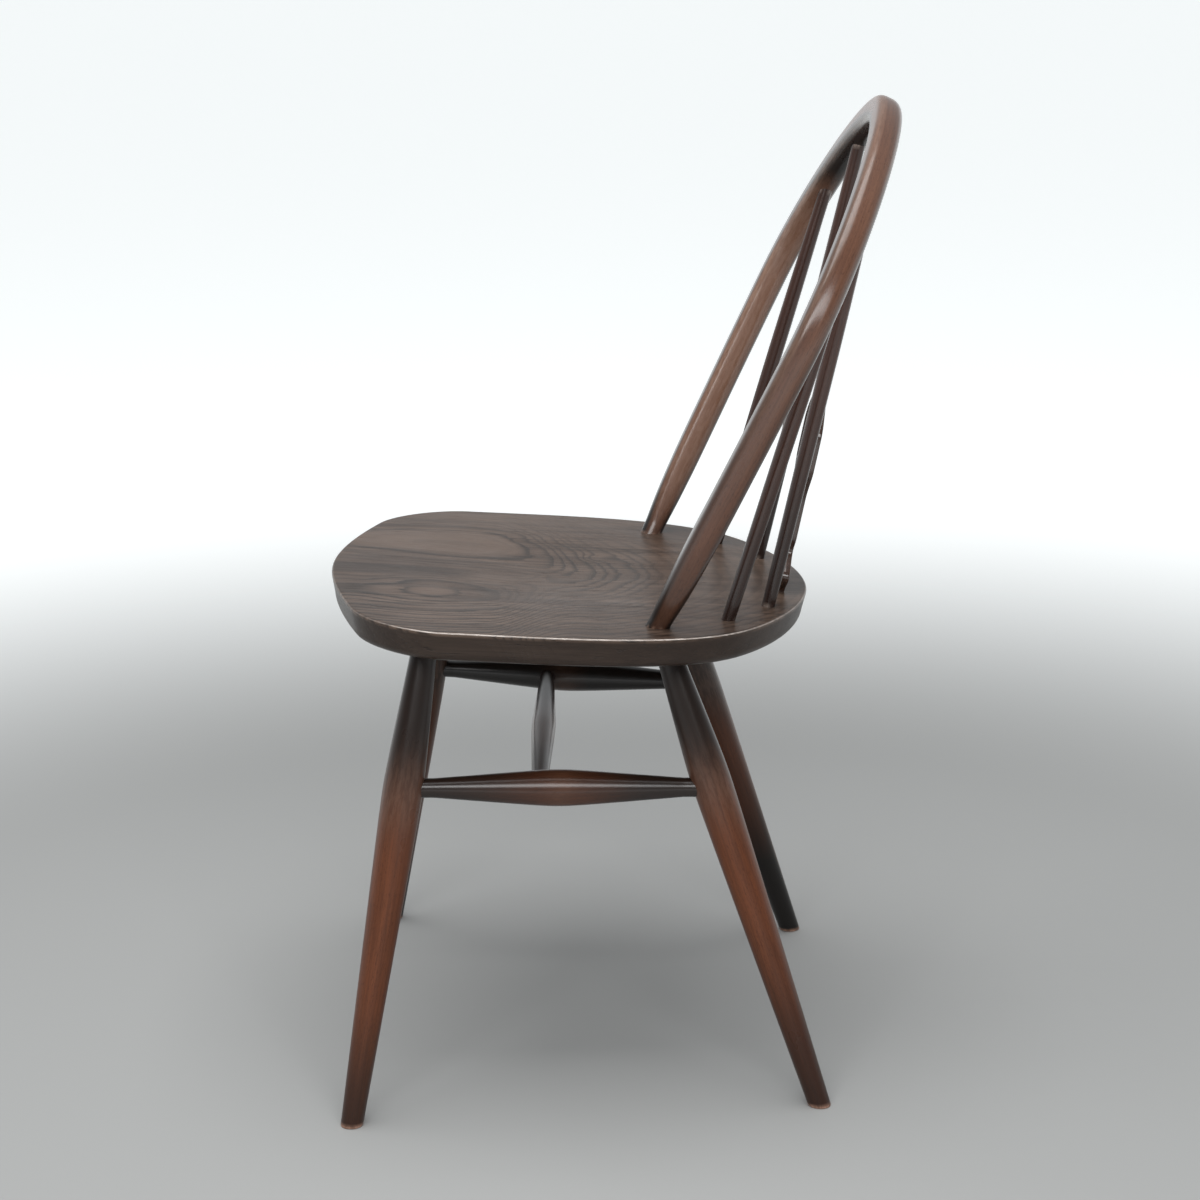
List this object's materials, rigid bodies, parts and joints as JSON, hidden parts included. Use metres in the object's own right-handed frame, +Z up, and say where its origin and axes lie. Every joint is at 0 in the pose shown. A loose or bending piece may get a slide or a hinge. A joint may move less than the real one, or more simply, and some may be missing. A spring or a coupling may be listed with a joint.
{
  "type": "dining chair",
  "caption": "Wooden dining chair with a bent hoop back, slim spindles, a pierced thistle splat, a solid shaped seat and splayed turned legs joined by stretchers.",
  "frame": {"origin": "on the floor, at the middle of the whole chair's box in X and Y", "axes": "+Z up, -Y towards the front of the seat, +X towards the sitter's left"},
  "size_m": [0.4838, 0.4822, 0.817],
  "materials": {
    "seat_wood": "stained dark brown under a worn glossy lacquer",
    "hoop_wood": "stained dark brown under a worn glossy lacquer",
    "splat_wood": "stained dark brown under a worn glossy lacquer",
    "spindle_wood": "stained dark brown under a worn glossy lacquer",
    "leg_wood": "stained dark brown under a worn glossy lacquer",
    "stretcher_wood": "stained dark brown under a worn glossy lacquer"
  },
  "bodies": {
    "root": {"seat_board_left": "seat_wood", "seat_board_right": "seat_wood", "hoop": "hoop_wood", "splat": "splat_wood", "spindle_outer_left": "spindle_wood", "spindle_outer_right": "spindle_wood", "spindle_inner_left": "spindle_wood", "spindle_inner_right": "spindle_wood", "leg_front_left": "leg_wood", "leg_front_right": "leg_wood", "leg_rear_left": "leg_wood", "leg_rear_right": "leg_wood", "side_stretcher_left": "stretcher_wood", "side_stretcher_right": "stretcher_wood", "cross_stretcher": "stretcher_wood"}
  },
  "joints": []
}
